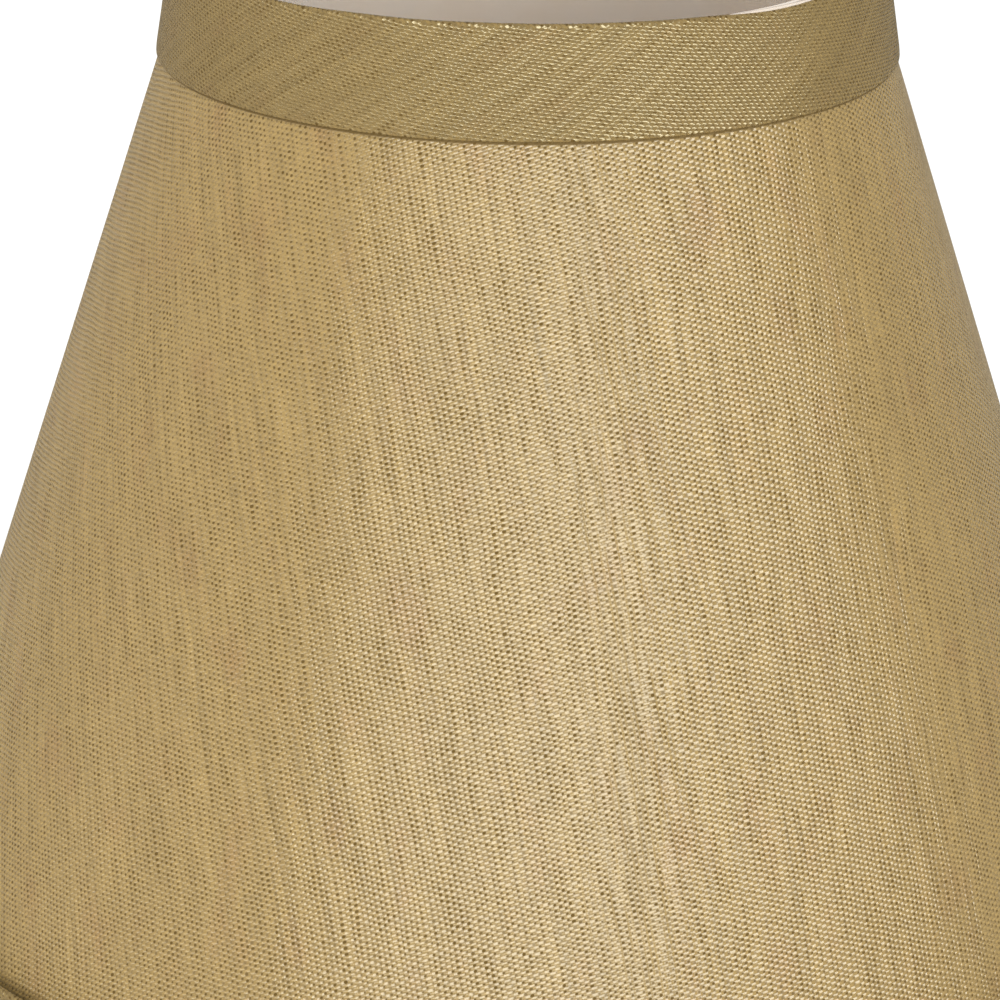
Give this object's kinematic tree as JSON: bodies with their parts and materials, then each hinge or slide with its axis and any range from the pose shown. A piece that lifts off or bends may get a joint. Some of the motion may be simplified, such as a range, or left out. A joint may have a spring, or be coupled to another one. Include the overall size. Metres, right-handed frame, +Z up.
{
  "type": "lamp shade",
  "caption": "Small clip-on empire lamp shade: woven cloth laminated to a stiff liner cone, wire rings, cloth trims on both rims and a sprung bulb clip.",
  "frame": {"origin": "middle of the bottom rim, on the surface that the shade stands on", "axes": "+Z up along the shade's axis, -Y the front, X along the clip's bridge; the seam is towards the back, on the left"},
  "size_m": [0.1478, 0.1478, 0.1143],
  "materials": {
    "cover_cloth": "slubby silk-like plain weave, laminated, lustrous",
    "trim_cloth": "the same cloth cut on the bias",
    "liner_sheet": "matt white styrene",
    "trim_strip": "matt white",
    "ring_wire": "white enamelled steel wire",
    "clip_brass": "brass-plated steel, bright",
    "weld_metal": "small dull weld beads"
  },
  "bodies": {
    "shade": {"cover_fabric": "cover_cloth", "liner_panel": "liner_sheet", "top_ring": "ring_wire", "bottom_ring": "ring_wire", "top_trim_strip": "trim_strip", "bottom_trim_strip": "trim_strip", "top_trim": "trim_cloth", "bottom_trim": "trim_cloth", "clip_bridge": "clip_brass", "bridge_welds": "weld_metal", "clip_saddle": "clip_brass"},
    "right_loop": {"clip_loop_right": "clip_brass"},
    "left_loop": {"clip_loop_left": "clip_brass"}
  },
  "joints": [
    {"name": "right_loop_spring", "type": "hinge", "parent": "shade", "child": "right_loop", "pos_m": [0.0068, 0, 0.0912], "axis": [0, -1, 0], "range_deg": [0, 14], "stiffness_Nm_per_rad": 0.4},
    {"name": "left_loop_spring", "type": "hinge", "parent": "shade", "child": "left_loop", "pos_m": [-0.0068, 0, 0.0912], "axis": [0, 1, 0], "range_deg": [0, 14], "stiffness_Nm_per_rad": 0.4}
  ]
}
